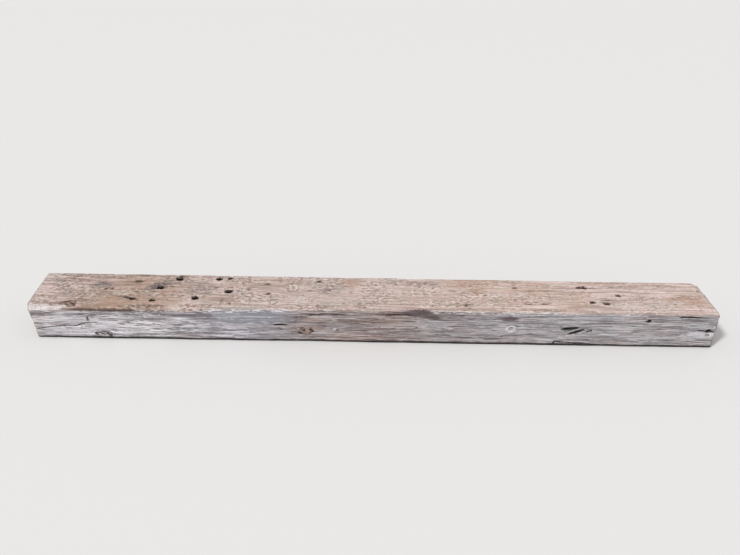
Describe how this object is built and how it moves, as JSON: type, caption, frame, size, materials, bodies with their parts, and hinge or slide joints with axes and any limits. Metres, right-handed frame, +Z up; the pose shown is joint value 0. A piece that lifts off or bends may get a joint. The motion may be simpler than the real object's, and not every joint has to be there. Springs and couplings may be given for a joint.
{
  "type": "railway sleeper",
  "caption": "Used sawn timber railway sleeper of rectangular section, with worn arrises, drying checks and square spike holes around two rail seats.",
  "frame": {"origin": "middle of the underside, level with the ground", "axes": "+X along the timber, +Y across it, +Z up from the face it lies on towards the face that carries the rails"},
  "size_m": [2.6146, 0.229, 0.152],
  "materials": {
    "timber": "weathered, dry and bare, silver-grey sides and a tan top"
  },
  "bodies": {
    "root": {"sleeper": "timber"}
  },
  "joints": []
}
